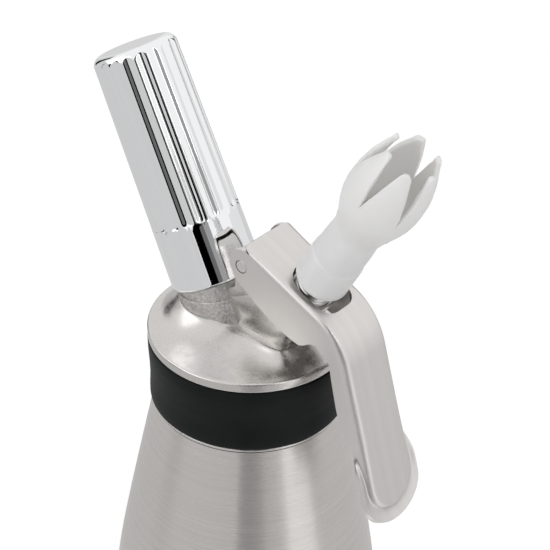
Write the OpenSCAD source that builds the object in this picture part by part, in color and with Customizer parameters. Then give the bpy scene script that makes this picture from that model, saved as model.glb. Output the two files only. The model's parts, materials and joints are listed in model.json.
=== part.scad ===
// Whipped cream dispenser: a steel bottle with a screw-on cast head, a lever-worked valve with a tulip
// nozzle, and a chrome holder that presses a gas charger onto a piercing pin.
// Origin: centre of the bottle's base. +Z up, +X towards the nozzle and lever, holder towards -X.

/* [Bottle] */
// Height of the bottle below the head's lower lip
bottle_h = 174; // [150:1:215]
// Radius of the bottle's belly
bottle_r = 44; // [40:0.5:52]
// Thickness of the drawn steel wall
bottle_wall = 0.9; // [0.6:0.1:1.5]
// Height at which the straight belly starts to narrow
belly_h = 90; // [70:1:110]

/* [Head] */
// Radius of the head's skirt under the grip band
skirt_r = 29; // [28:0.25:31]
// Height of the grip band
band_h = 22.5; // [20:0.5:27]
// Thickness of the grip band
band_t = 2.4; // [1.5:0.1:3.5]
// Thickness of the skirt's wall
skirt_wall = 1.5; // [1.2:0.1:2]
// Rise of the domed top over its rim
dome_rise = 4; // [2.5:0.25:6]

/* [Charger holder] */
// Tilt of the holder's axis from the vertical, away from the nozzle
holder_tilt = 27.2; // [22:0.2:30]
// Wall of the holder round the thread in its mouth
holder_wall = 2.2; // [1.8:0.1:3]
// Thickness of the holder's top over the charger
crown_t = 8.15; // [4:0.05:12]
// Number of flutes round the holder
flute_count = 20; // [8:1:20]
// Radius of the gas charger's body
charger_r = 8.95; // [8.5:0.05:9.5]
// Length of the gas charger
charger_len = 65.5; // [60:0.5:75]

/* [Valve and nozzle] */
// Tilt of the valve's axis from the vertical, towards the handle
valve_tilt = 29; // [25:0.5:32]
// Radius of the valve stem
stem_r = 3.2; // [2.8:0.1:3.6]
// Length of the tulip nozzle
nozzle_len = 60; // [55:0.5:75]
// Number of petals on the tulip
petal_count = 6; // [4:1:7]

/* [Lever] */
// Width of the lever over its flanges
lever_w = 19.8; // [18.8:0.1:24]
// Thickness of the lever's sheet
lever_t = 1.8; // [1.4:0.1:2.2]
// Length of the handle below the bend's corner
handle_len = 65; // [58:0.5:80]
// Radius of the hinge pin
pin_r = 2; // [1.6:0.1:2.6]

/* [Hidden] */
$fn = 72;

// Clearances
gap = 0.3;          // between pieces of different bodies
fit = 0.05;         // running fit, radial
seat = 0.1;         // between flat faces that meet
over = 1;           // how far a cutter runs past a face

// Heights in the bottle's frame
lip_t = 1;                               // bright lip of the head under the grip band
rim_z = bottle_h + lip_t + band_h;       // top edge of the grip band: the head's own zero height

// Bottle
shoulder_top = bottle_h - 0.4;           // outer height of the shoulder, just under the lip
shoulder_r = skirt_r + 1;                // radius of the shoulder there
shoulder_ease = 0.165;                   // how softly the belly turns into the cone, 0 to 1
base_round = 8;                          // rounding between base and belly
neck_clear = 1.55;                       // between the skirt's bore and the plain neck
neck_r = skirt_r - skirt_wall - neck_clear;
neck_wall = 1.2;
gasket_top = -1.5;                       // underside of the head over the gasket
gasket_t = 2.5;
gasket_in = neck_r - neck_wall - 2;      // inner radius of the gasket
neck_top = rim_z + gasket_top - gasket_t - 2 * seat;
thread_pitch = 4;
thread_turns = 3;
thread_h = 0.9;
thread_drop = 18;                        // first thread ring below the rim

// Head's outline, in the head's frame
dome_r = skirt_r + band_t - 0.2;         // where the domed top starts
rim_h = 3.2;                             // height of the rim under the dome
skirt_foot = -band_h - lip_t;
lip_r = skirt_r + 1.4;
ledge_h = 12.4;                          // level step on the boss under the holder
terrace_h = 8;

// Axes, in the head's frame
holder_x = -6.2;                         // where the holder's axis crosses the rim plane
valve_x = 9.1;                           // where the valve's axis crosses the rim plane
pivot = [4.7, 30.8];                     // hinge pin, in X and Z

// Distances along the holder's axis from the rim plane
bulb_clear = 0.45;                       // between the charger and the holder's bore
stub_r = charger_r + 2.25;               // threaded stub inside the holder's mouth
stub_top = 30;
stub_pitch = 3;
stub_thread_h = 0.5;
stub_clear = 0.4;                        // over the stub's thread
boss_r = stub_r + 1.3;                   // grained boss under the holder
boss_top = 16.2;
insert_r = 6;
insert_foot = 8;
insert_top = boss_top;
pin_hole_r = 1.25;                       // hole for the piercing pin
nose_r = 2.6;                            // seat of the check valve under the insert
nose_foot = insert_foot - 0.8;
seal_t = 2.5;
seal_pocket = 2;
bulb_foot = insert_top + 0.8;            // tip of the charger's neck
bulb_neck_r = 4.35;
bulb_neck_len = 10;
bulb_bore_r = bulb_neck_r - 1.15;
bulb_wall = 1.3;
bulb_end = bulb_foot + charger_len;
check_r = 4.5;                           // chamber of the check valve
check_foot = -2;
retainer_top = 1.5;
disc_foot = nose_foot - seat - 1.5;
holder_foot = boss_top + gap;
holder_top = bulb_end + bulb_clear + crown_t;
holder_r = stub_r + stub_thread_h + stub_clear + holder_wall;
holder_top_r = holder_r - 1.3;
holder_round = 3;
holder_lean = atan((holder_r - holder_top_r) / (holder_top - holder_foot));
flute_r = 4;
flute_out = 3.55;                        // how far the flutes' axes lie outside the surface
flute_low = holder_foot + 21.7;          // round lower end of the flutes

// Distances along the valve's axis from the rim plane
washer_t = 0.5;                          // room for a washer between lug and flange
block_r = lever_w / 2 - lever_t - washer_t;   // half width of the valve block
lug_half = block_r - 0.2;                // half width of the hinge lug
seat_t = -1.5;                           // valve seat on the head's underside
seal_wall = 2;                           // thickness of the valve's rubber seal
washer_foot = seat_t - seat - seal_wall - 0.8;
nut_foot = washer_foot - 2.7;
stem_foot = nut_foot - 0.4;
stem_bore_r = 1.7;
port_r = 1.1;                            // side holes that let the cream into the stem
port_z = 3;
chamber_r = stem_r + 1.8;
seal_r = chamber_r + 1.5;
chamber_top = 5.5;
oring_bore_r = stem_r + 0.8;
oring_z = 9.2;
oring_wire_r = 0.75;
groove_r = oring_bore_r - 2 * oring_wire_r - seat;
bush_foot = 11.5;
bush_top = 15;
bush_r = stem_r + 2.8;
block_top = 22.5;
block_edge = [[0, 2], [-2, 16]];         // rear of the block, in X and Z of the head's frame
lug_edge = [[8, 3], [-4, 3], [-2.5, 18.5], [-0.2, 20.6]];   // foot and rear of the lug
collar_foot = 27.6;
collar_top = 31.2;
collar_r = lever_w / 2 - lever_t - gap;  // corners of the hexagon, between the flanges
adapter_r = stem_r + 2.6;                // threaded end that the nozzle screws onto
adapter_thread_h = 0.35;
adapter_top = 44;
stem_top = adapter_top - 4;
outlet_r = 2.4;
nozzle_foot = 37.2;
socket_r = adapter_r + adapter_thread_h + gap;
socket_top = adapter_top + 1.6;

// Lever, in X and Z of the head's frame
plate_tilt = 22.8;                       // slope of the top plate below the horizontal
plate_high = 7.3;                        // top face over the hinge pin, square to the plate
handle_tilt = 17.1;                      // slope of the handle from the vertical
bend_r = 21.7;                           // outer radius of the bend
corner = [42.3, 22.9];                   // where plate and handle would meet without the bend
flange_r = 5.5;                          // round end of the flanges at the hinge
lip_w = 2.5;                             // how far the lip stands out round the handle's end
lip_step = 0.6;                          // from the handle's face back to the lip
tip_len = 10;                            // length of the round end
slot_w = adapter_r + 1.1;                // half width of the hole for the nozzle
plate_edge = [                           // lower edge of the flanges from the hinge round the bend
    [3.2, 25.2], [12.7, 19.1], [19, 15.9], [24, 14.3], [27.5, 13.6], [29.3, 14.4], [31.5, 16.2],
    [34.5, 16.5], [37.3, 14.8], [39, 12.4]
];
handle_edge = [                          // share of the handle's length, and the flanges' depth there
    [0.22, 6.8], [0.38, 7.4], [0.51, 6.7], [0.64, 5.1], [0.79, 3.3], [0.9, 2.4], [1.1, 2.2]
];

// Springs
valve_wire_r = 0.55;
valve_coil_r = stem_r + 1.65;
valve_curls = 6;
check_wire_r = 0.22;
check_coil_r = 2.6;
check_curls = 4;

// Helpers -------------------------------------------------------------------------------------

function arc(centre, r, from, to, n) =
    [for (i = [0:n]) let(a = from + (to - from) * i / n) centre + r * [cos(a), sin(a)]];

function reverse_list(list) = [for (i = [len(list) - 1:-1:0]) list[i]];

// Unit vectors in X and Z
function along(tilt) = [cos(tilt), -sin(tilt)];
function out(tilt) = [sin(tilt), cos(tilt)];

module head_frame() { translate([0, 0, rim_z]) children(); }
module holder_frame() { head_frame() translate([holder_x, 0, 0]) rotate([0, -holder_tilt, 0]) children(); }
module valve_frame() { head_frame() translate([valve_x, 0, 0]) rotate([0, valve_tilt, 0]) children(); }
module side_plate(w) { rotate([90, 0, 0]) linear_extrude(w, center = true) children(); }

module ring(r_out, r_in, foot, top) {
    rotate_extrude() translate([r_in, foot]) square([r_out - r_in, top - foot]);
}

module rod(r, foot, top) { translate([0, 0, foot]) cylinder(r = r, h = top - foot); }

// Thread ridges, drawn as rings
module ridges(r, h, pitch, first, count) {
    for (i = [0:count - 1])
        rotate_extrude() translate([0, first + i * pitch])
            polygon([[r - 0.3, -0.32 * pitch], [r, -0.32 * pitch], [r + h, -0.1 * pitch],
                     [r + h, 0.1 * pitch], [r, 0.32 * pitch], [r - 0.3, 0.32 * pitch]]);
}

// A coil spring: one tube along a helix, with 8 rings a curl and 6 sides. Each end runs straight on
// for one wire thickness.
function coil_path(r, wire, foot, top, curls) = concat(
    [[r, -2 * wire, foot]],
    [for (i = [0:8 * curls]) [r * cos(45 * i), r * sin(45 * i), foot + (top - foot) * i / (8 * curls)]],
    [[r, 2 * wire, top]]);

module coil(r, wire, foot, top, curls) {
    path = coil_path(r, wire, foot + wire, top - wire, curls);
    n = len(path);
    turn = [for (i = [0:n - 1]) 45 * min(max(i - 1, 0), n - 3)];
    points = [for (i = [0:n - 1], k = [0:5])
        let(w = 60 * k)
        path[i] + wire * [cos(w) * cos(turn[i]), cos(w) * sin(turn[i]), sin(w)]];
    sides = [for (i = [0:n - 2], k = [0:5], half = [0, 1])
        let(p = 6 * i + k, q = 6 * i + (k + 1) % 6)
        half == 0 ? [p, q, q + 6] : [p, q + 6, p + 6]];
    lower = [for (k = [1:4]) [0, k + 1, k]];
    upper = [for (k = [1:4]) [6 * (n - 1), 6 * (n - 1) + k, 6 * (n - 1) + k + 1]];
    least_gap = min([for (i = [0:n - 1], j = [i + 5:1:n - 1]) norm(path[j] - path[i])]) - 2 * wire;
    echo(least_gap = least_gap);
    polyhedron(points, concat(lower, sides, upper));
}

// Bottle --------------------------------------------------------------------------------------

// Radius of the outer wall at a share s of the height between belly and shoulder
function shoulder(s) = (s - shoulder_ease * (1 - exp(-s / shoulder_ease)))
    / (1 - shoulder_ease * (1 - exp(-1 / shoulder_ease)));

function bottle_side(inset) = concat(
    arc([bottle_r - base_round, base_round], base_round - inset, -90, 0, 6),
    [for (i = [0:16]) let(s = i / 16, narrower = (bottle_r - shoulder_r) * shoulder(s))
        [bottle_r - inset - narrower, belly_h + (shoulder_top - belly_h) * s]]);

module bottle_shell() {
    inner_top = shoulder_top - bottle_wall;
    inner = [for (p = bottle_side(bottle_wall)) [p[0], min(p[1], inner_top)]];
    color("silver") {
        rotate_extrude()
            polygon(concat(
                [[0, 0]], bottle_side(0),
                [[neck_r, shoulder_top], [neck_r, neck_top], [neck_r - neck_wall, neck_top],
                 [neck_r - neck_wall, inner_top]],
                reverse_list(inner), [[0, bottle_wall]]));
        ridges(neck_r, thread_h, thread_pitch, rim_z - thread_drop, thread_turns);
    }
}

// Head ----------------------------------------------------------------------------------------

module dome_solid() {
    rotate_extrude()
        polygon(concat(
            [for (a = [0:9:90]) [dome_r * sin(a), rim_h + dome_rise * cos(a)]],
            [[dome_r + 0.4, rim_h - 1], [dome_r + 0.4, 0.7], [dome_r, 0], [skirt_r, 0],
             [skirt_r, -band_h], [lip_r, -band_h], [lip_r, skirt_foot], [0, skirt_foot]]));
}

// Boss and threaded stub for the holder, and the level step round the boss
module holder_boss() {
    holder_frame() {
        rod(boss_r, 0, boss_top);
        rod(stub_r, boss_top - over, stub_top);
        ridges(stub_r, stub_thread_h, stub_pitch, boss_top + 3, 4);
    }
    intersection() {
        holder_frame() rod(boss_r + 1, 0, boss_top);
        head_frame() cylinder(r = dome_r, h = ledge_h);
    }
}

// Low terrace that joins the two bosses
module terrace() {
    half = 10;
    end_x = 19;
    round_r = 4;
    boss_x = holder_x - terrace_h * tan(holder_tilt);
    wide = boss_r + 0.9;
    head_frame() linear_extrude(terrace_h) {
        translate([boss_x, 0]) circle(r = boss_r + 1);
        polygon([[boss_x, -wide], [boss_x, wide], [0, half + 0.5], [end_x - round_r, half],
                 [end_x - round_r, -half], [0, -half - 0.5]]);
        for (side = [-1, 1])
            translate([end_x - round_r, side * (half - round_r)]) circle(r = round_r);
        translate([0, round_r - half]) square([end_x, 2 * (half - round_r)]);
    }
}

// Block round the valve, and the lug that rises from it to the hinge pin
module valve_block() {
    foot = [valve_x, 0];
    top = foot + block_top * out(valve_tilt);
    back = top - block_r * along(valve_tilt);
    lug_r = flange_r - 0.8;
    neck = back - 6 * out(valve_tilt);
    valve_frame() rod(block_r, 0, block_top);
    head_frame() {
        side_plate(2 * lug_half) {
            translate(pivot) circle(r = lug_r);
            polygon(concat([pivot - [lug_r, 0], pivot + lug_r * out(45), back, neck], lug_edge));
        }
        side_plate(2 * block_r)
            polygon(concat([back, top, foot + 2 * out(valve_tilt)], block_edge));
    }
}

// Space under the head, without the two bosses that hang into it
module head_hollow() {
    boss_in = 12;
    valve_boss_r = chamber_r + 3.6;
    gas_boss_r = check_r + 2.7;
    difference() {
        head_frame() {
            rod(skirt_r - skirt_wall, skirt_foot - over, gasket_top);
            rod(gasket_in - 1.25, gasket_top - over, 1);
        }
        valve_frame() rod(valve_boss_r, seat_t, boss_in);
        holder_frame() rod(gas_boss_r, check_foot, boss_in);
    }
    valve_frame() rod(seal_r + 0.8, stem_foot, seat_t);
}

module valve_bores() {
    valve_frame() {
        rod(chamber_r, seat_t - over, chamber_top);
        rod(oring_bore_r, chamber_top - over, bush_foot + over);
        rod(bush_r, bush_foot, block_top + over);
    }
}

module gas_bores() {
    cone = 6;
    holder_frame() {
        rod(check_r, check_foot - over, insert_foot + over);
        rod(insert_r, insert_foot, stub_top - cone);
        translate([0, 0, stub_top - cone - 0.01])
            cylinder(r1 = insert_r, r2 = charger_r + 0.5, h = cone + 0.5);
    }
}

module hinge_bore(r) {
    head_frame() translate([pivot[0], 0, pivot[1]]) rotate([90, 0, 0])
        cylinder(r = r, h = lever_w + 2 * over, center = true);
}

module head_casting() {
    color("lightgray")
        difference() {
            union() {
                head_frame() dome_solid();
                holder_boss();
                terrace();
                valve_block();
            }
            head_hollow();
            valve_bores();
            gas_bores();
            hinge_bore(pin_r);
        }
}

module grip_band() {
    top = -seat / 2;
    foot = -band_h + seat / 2;
    r = skirt_r + band_t;
    color([0.05, 0.07, 0.07])
        head_frame() rotate_extrude()
            polygon([[skirt_r, top], [r - 0.4, top], [r + 0.1, top - 0.6], [r, -0.18 * band_h],
                     [r - 0.45, -0.45 * band_h], [r - 0.6, -0.65 * band_h], [r - 0.4, -0.85 * band_h],
                     [r - 0.4, foot + 1.6], [r - 1, foot], [skirt_r, foot]]);
}

module head_gasket() {
    tab = [9, 5, 1.2];
    top = gasket_top - seat;
    color("whitesmoke")
        head_frame() {
            ring(skirt_r - skirt_wall - gap, gasket_in, top - gasket_t + seat, top);
            translate([0, gasket_in + 0.9 - tab[1] / 2, top - gasket_t / 2]) cube(tab, center = true);
        }
}

// Charger holder ------------------------------------------------------------------------------

module charger_holder() {
    bore_r = charger_r + bulb_clear;
    dome_z = bulb_end - charger_r;
    color([0.86, 0.86, 0.88])
        holder_frame() difference() {
            rotate_extrude()
                polygon(concat(
                    [[0, holder_foot], [holder_r - 0.5, holder_foot], [holder_r, holder_foot + 0.5]],
                    arc([holder_top_r - holder_round, holder_top - holder_round], holder_round, 0, 90, 6),
                    [[0, holder_top]]));
            rod(stub_r + stub_thread_h + stub_clear, holder_foot - over, stub_top + 1.2);
            rod(bore_r, holder_foot, dome_z);
            translate([0, 0, dome_z]) sphere(r = bore_r);
            for (i = [0:flute_count - 1])
                rotate([0, 0, 2 + i * 360 / flute_count]) flute();
        }
}

// A shallow groove along the holder's taper, round at its lower end
module flute() {
    low_r = holder_r - (flute_low - holder_foot) * tan(holder_lean);
    translate([low_r + flute_out, 0, flute_low]) rotate([0, -holder_lean, 0]) {
        sphere(r = flute_r, $fn = 32);
        cylinder(r = flute_r, h = holder_top - flute_low + 1, $fn = 32);
    }
}

module charger_bulb() {
    neck_end = bulb_foot + bulb_neck_len;
    shoulder_end = neck_end + 8;
    centre = bulb_end - charger_r;
    inner = charger_r - bulb_wall;
    color("gainsboro")
        holder_frame() rotate_extrude()
            polygon(concat(
                [[bulb_bore_r, bulb_foot], [bulb_neck_r - 0.4, bulb_foot], [bulb_neck_r, bulb_foot + 0.4],
                 [bulb_neck_r, neck_end], [bulb_neck_r + 1, neck_end + 2],
                 [charger_r - 1, shoulder_end - 2], [charger_r, shoulder_end]],
                arc([0, centre], charger_r, 0, 90, 10),
                arc([0, centre], inner, 90, 0, 10),
                [[inner, shoulder_end], [inner - 0.8, shoulder_end - 1.8],
                 [bulb_bore_r + 0.6, neck_end + 1.6], [bulb_bore_r, neck_end]]));
}

// Cap in the charger's neck, already pierced
module charger_cap() {
    color("gray") holder_frame() ring(bulb_bore_r, pin_hole_r + seat, bulb_foot + 0.6, bulb_foot + 1.2);
}

module piercing_insert() {
    color("goldenrod")
        holder_frame() difference() {
            union() {
                rod(insert_r, insert_foot, insert_top);
                rod(nose_r, nose_foot, insert_foot + over);
            }
            rod(pin_hole_r, nose_foot - over, insert_top + over);
            rod(bulb_neck_r + 0.35, insert_top - seal_pocket, insert_top + over);
        }
}

// Hollow pin with a sharp rim
module piercing_pin() {
    bore_r = 0.45;
    foot = insert_foot + 0.5;
    shank_r = pin_hole_r - 0.05;
    shank_top = insert_top + 0.6;
    tip = shank_top + 3.2;
    color("dimgray")
        holder_frame() rotate_extrude()
            polygon([[bore_r, foot], [shank_r, foot], [shank_r, shank_top], [bore_r + 0.15, tip],
                     [bore_r, tip]]);
}

module charger_seal() {
    foot = insert_top - seal_pocket + 0.05;
    color("dimgray") holder_frame() ring(bulb_neck_r + 0.25, pin_hole_r + 0.35, foot, foot + seal_t - 0.05);
}

module check_disc() {
    color("dimgray") holder_frame() rod(check_r - 0.9, disc_foot, nose_foot - seat);
}

module check_retainer() {
    color("silver") holder_frame() ring(check_r, pin_hole_r + 0.35, check_foot, retainer_top);
}

module check_spring() {
    color("lightsteelblue")
        holder_frame()
            coil(check_coil_r, check_wire_r, retainer_top + seat, disc_foot - seat, check_curls);
}

// Valve ---------------------------------------------------------------------------------------

module valve_stem() {
    color("silver")
        valve_frame() difference() {
            rod(stem_r, stem_foot, stem_top);
            rod(stem_bore_r, 1, stem_top + over);
            for (a = [0, 90])
                translate([0, 0, port_z]) rotate([90, 0, a])
                    cylinder(r = port_r, h = 3 * stem_r, center = true);
            ring(stem_r + over, groove_r, oring_z - 1, oring_z + 1);
        }
}

module valve_oring() {
    color("dimgray")
        valve_frame() translate([0, 0, oring_z]) rotate_extrude()
            translate([groove_r + oring_wire_r, 0]) circle(r = oring_wire_r, $fn = 32);
}

module valve_seal() {
    top = seat_t - seat;
    color("dimgray") valve_frame() ring(seal_r, stem_r, top - seal_wall, top);
}

module seal_washer() {
    color("silver") valve_frame() ring(seal_r - 1, stem_r, washer_foot, washer_foot + 0.8);
}

module stem_nut() {
    color("silver")
        valve_frame() difference() {
            translate([0, 0, nut_foot]) cylinder(r = stem_r + 2, h = washer_foot - nut_foot, $fn = 6);
            rod(stem_r, nut_foot - over, washer_foot + over);
        }
}

// Hexagonal push collar under the lever, chamfered below, and the threaded end above it
module nozzle_adapter() {
    collar_h = collar_top - collar_foot;
    color("silver")
        valve_frame() difference() {
            union() {
                translate([0, 0, collar_foot]) intersection() {
                    rotate([0, 0, 30]) cylinder(r = collar_r, h = collar_h, $fn = 6);
                    cylinder(r1 = collar_r + 2.4, r2 = collar_r - 1.2, h = collar_h);
                }
                rod(adapter_r, collar_top - over, adapter_top);
                ridges(adapter_r, adapter_thread_h, 1.5, collar_top + 1.2, 8);
            }
            rod(stem_r, collar_foot - over, stem_top);
            rod(outlet_r, stem_top - over, adapter_top + over);
        }
}

module guide_bush() {
    color("white") valve_frame() ring(bush_r, stem_r + fit, bush_foot, bush_top);
}

module valve_spring() {
    color("lightsteelblue")
        valve_frame() coil(valve_coil_r, valve_wire_r, bush_top + seat, collar_foot - seat, valve_curls);
}

// Nozzle --------------------------------------------------------------------------------------

// Outer radius of the nozzle at a share of its length
nozzle_shape = [
    [0, 8.4], [0.2, 8], [0.21, 7.8], [0.33, 7.6], [0.38, 7.3], [0.42, 7.35], [0.475, 8], [0.52, 9],
    [0.57, 10.1], [0.63, 11.1], [0.69, 11.5], [0.78, 11.35], [0.86, 10.6], [0.93, 9.4], [1, 8]
];

module tulip_nozzle() {
    wall = 1.4;
    function at(share) = nozzle_foot + share * nozzle_len;
    outer = [for (p = nozzle_shape) [p[1], at(p[0])]];
    inner = [for (p = nozzle_shape) if (p[0] > 0.4) [p[1] - wall, at(p[0])]];
    color("whitesmoke")
        valve_frame() difference() {
            rotate_extrude()
                polygon(concat(
                    [[socket_r, nozzle_foot]], outer, reverse_list(inner),
                    [[4.6, at(0.3)], [3.6, at(0.24)], [3.2, socket_top], [socket_r, socket_top]]));
            for (i = [0:petal_count - 1])
                rotate([0, 0, -93.5 + i * 360 / petal_count]) petal_gap();
        }
}

// V-shaped gap between two petals, which leaves each petal a blunt tip
module petal_gap() {
    top = nozzle_foot + nozzle_len;
    apex = nozzle_foot + 0.72 * nozzle_len;
    tip_w = 3;
    half = 8 * sin(180 / petal_count) - tip_w / 2;
    translate([3, 0, 0]) rotate([90, 0, 90]) linear_extrude(12)
        polygon([[-0.15, apex], [0.15, apex], [0.62 * half, (apex + top) / 2], [half, top + 0.1],
                 [-half, top + 0.1], [-0.62 * half, (apex + top) / 2]]);
}

// Lever ---------------------------------------------------------------------------------------

handle_down = [sin(handle_tilt), -cos(handle_tilt)];
handle_out = [cos(handle_tilt), sin(handle_tilt)];

// Face of the lever as seen from the side, from the hinge end to past the handle's tip, moved in
// by inset
function lever_face(inset) =
    let(bend_in = bend_r / cos((90 - handle_tilt - plate_tilt) / 2),
        centre = corner - bend_in * out((plate_tilt + 90 - handle_tilt) / 2))
    concat(
        [pivot + (plate_high - inset) * out(plate_tilt) - 2 * along(plate_tilt)],
        arc(centre, bend_r - inset, 90 - plate_tilt, handle_tilt, 8),
        [corner - inset * handle_out + (handle_len + 6) * handle_down]);

// Side view of the flanges
module lever_side() {
    hinge_end = arc(pivot + [0.9, 0.6], flange_r, 115, 222, 8);
    flange_edge = concat(plate_edge,
        [for (e = handle_edge) corner + e[0] * handle_len * handle_down - e[1] * handle_out]);
    polygon(concat(lever_face(0), reverse_list(flange_edge), reverse_list(hinge_end)));
}

// The room between the flanges, under the sheet
module lever_room() {
    far = handle_len + 20;
    polygon(concat(lever_face(lever_t), [pivot - [far, far], pivot + [-far, 8]]));
}

// Outline of the lever seen square to the handle: straight, then flared by spread, with a round end.
// X runs up the handle from the bend's corner.
module lever_front(spread, inset) {
    half = lever_w / 2 - inset;
    end_x = tip_len - handle_len + 1.6 * (lip_w - spread);
    flare_x = end_x + 23;
    side = concat(
        [[60, half]],
        [for (i = [0:6]) [flare_x + (end_x - flare_x) * i / 6, half + spread * (1 - cos(30 * i)) / 2]],
        [for (a = [105:15:180]) [end_x + (tip_len - inset) * cos(a), (half + spread) * sin(a)]]);
    other = [for (i = [len(side) - 2:-1:0]) [side[i][0], -side[i][1]]];
    polygon(concat(side, other));
}

module lever_prism(spread, inset, top = 100) {
    translate([corner[0], 0, corner[1]]) rotate([0, -90 - handle_tilt, 0])
        translate([0, 0, -top]) linear_extrude(top + 100) lever_front(spread, inset);
}

// Hole for the nozzle, seen square to the plate, X down the slope from the hinge pin
module nozzle_slot() {
    reach = pivot - [valve_x, 0];
    t = (plate_high + reach * out(plate_tilt)) / (out(valve_tilt) * out(plate_tilt));
    centre = (t * out(valve_tilt) - reach) * along(plate_tilt);
    front = centre + slot_w + 3.7;
    front_r = 4.5;
    translate([centre - 1, 0]) circle(r = slot_w);
    translate([centre - 1, -slot_w]) square([front - front_r - centre + 1, 2 * slot_w]);
    translate([centre, -slot_w + front_r]) square([front - centre, 2 * (slot_w - front_r)]);
    for (side = [-1, 1])
        translate([front - front_r, side * (slot_w - front_r)]) circle(r = front_r);
}

module lever() {
    color("silver") difference() {
        head_frame() difference() {
            intersection() {
                side_plate(lever_w + 4 * lip_w) lever_side();
                union() {
                    lever_prism(0, 0);
                    lever_prism(lip_w, 0, -lip_step);
                }
            }
            intersection() {
                side_plate(lever_w + 4 * lip_w) lever_room();
                lever_prism(lip_w - lip_step, lever_t);
            }
            translate([pivot[0], 0, pivot[1]]) rotate([0, plate_tilt, 0])
                translate([0, 0, plate_high - lever_t - over])
                    linear_extrude(lever_t + 2 * over) nozzle_slot();
        }
        hinge_bore(pin_r + fit);
    }
}

module hinge_pin() {
    color("silver")
        head_frame() translate([pivot[0], 0, pivot[1]]) rotate([90, 0, 0])
            cylinder(r = pin_r, h = lever_w - seat, center = true);
}

// One washer on each side of the lug, against the flange
module hinge_washers() {
    inner = lug_half;
    outer = lever_w / 2 - lever_t - 0.15;
    color("white")
        head_frame() for (side = [-1, 1])
            translate([pivot[0], side * (inner + outer) / 2, pivot[1]]) rotate([90, 0, 0])
                ring(4.2, pin_r, -(outer - inner) / 2, (outer - inner) / 2);
}

bottle_shell();
head_gasket();
head_casting();
grip_band();
charger_holder();
charger_bulb();
charger_cap();
piercing_insert();
piercing_pin();
charger_seal();
check_disc();
check_spring();
check_retainer();
lever();
hinge_pin();
hinge_washers();
valve_stem();
valve_oring();
valve_seal();
seal_washer();
stem_nut();
nozzle_adapter();
guide_bush();
valve_spring();
tulip_nozzle();
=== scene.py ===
"""Looks of the whipped cream dispenser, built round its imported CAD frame.

Shapes are drawn in millimetres in the frame of the part that carries them, and placed in metres at the end.
"""

import json
import math

import bmesh
import bpy
from mathutils import Matrix, Vector


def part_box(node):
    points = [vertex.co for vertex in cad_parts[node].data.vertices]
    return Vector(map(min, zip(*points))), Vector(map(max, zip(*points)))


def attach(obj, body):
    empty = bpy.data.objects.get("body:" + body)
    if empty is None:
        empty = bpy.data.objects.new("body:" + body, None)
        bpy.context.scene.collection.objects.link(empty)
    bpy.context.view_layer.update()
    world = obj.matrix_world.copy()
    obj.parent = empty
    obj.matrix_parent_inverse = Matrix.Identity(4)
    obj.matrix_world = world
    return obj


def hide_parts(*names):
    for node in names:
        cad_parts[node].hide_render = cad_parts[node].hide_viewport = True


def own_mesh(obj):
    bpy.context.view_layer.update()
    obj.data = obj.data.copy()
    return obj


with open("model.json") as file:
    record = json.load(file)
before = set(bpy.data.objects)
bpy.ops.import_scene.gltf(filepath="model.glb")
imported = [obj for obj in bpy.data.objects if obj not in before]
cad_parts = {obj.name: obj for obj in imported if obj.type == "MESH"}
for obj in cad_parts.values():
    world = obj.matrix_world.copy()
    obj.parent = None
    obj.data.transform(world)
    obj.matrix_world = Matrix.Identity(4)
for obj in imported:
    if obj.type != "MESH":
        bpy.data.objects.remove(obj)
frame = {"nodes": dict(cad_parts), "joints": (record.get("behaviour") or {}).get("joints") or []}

bl_info = {
    "name": "Whipped cream dispenser",
    "version": (1, 0, 0),
    "blender": (4, 5, 0),
    "location": "3D View > Sidebar > Dispenser",
    "description": "Builds the pieces of a whipped cream dispenser round its CAD frame, and the stage for them",
    "category": "Object",
}

MM = 0.001
IN_MM = Matrix.Scale(MM, 4)
MERGE = 0.002          # points closer than this many millimetres are one
JOINTS = {joint["name"]: joint for joint in frame["joints"]}
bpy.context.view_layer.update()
RIM_Z = JOINTS["head_unscrew"]["pos_m"][2]          # top edge of the grip band
PIVOT = Vector(JOINTS["lever_squeeze"]["pos_m"])    # centre of the hinge pin


# Places ------------------------


def head_place():
    """Frame at the centre of the grip band's top edge."""
    return Matrix.Translation((0, 0, RIM_Z))


def axis_place(joint):
    """Frame whose Z runs along a joint's axis, and whose origin is where that axis crosses the rim."""
    along = Vector(JOINTS[joint]["axis"]).normalized()
    at = Vector(JOINTS[joint]["pos_m"])
    origin = at - along * (at.z - RIM_Z) / along.z
    return Matrix.Translation(origin) @ Matrix.Rotation(math.atan2(along.x, along.z), 4, "Y")


# Shapes ------------------------


def mix(a, b, share):
    """Value that lies a share of the way from a to b."""
    return a + (b - a) * share


def ease(share):
    """Smooth step from 0 to 1."""
    share = min(max(share, 0), 1)
    return share * share * (3 - 2 * share)


def between(table, x):
    """Value at x in a table of (x, value) rows, straight between the rows."""
    if x <= table[0][0]:
        return table[0][1]
    for (x0, y0), (x1, y1) in zip(table, table[1:]):
        if x <= x1:
            return mix(y0, y1, (x - x0) / (x1 - x0))
    return table[-1][1]


def softly(table, x, reach):
    """As between(), averaged over a reach on either side of x, so that corners are rounded."""
    return sum(between(table, x + reach * k / 3) for k in range(-3, 4)) / 7


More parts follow.
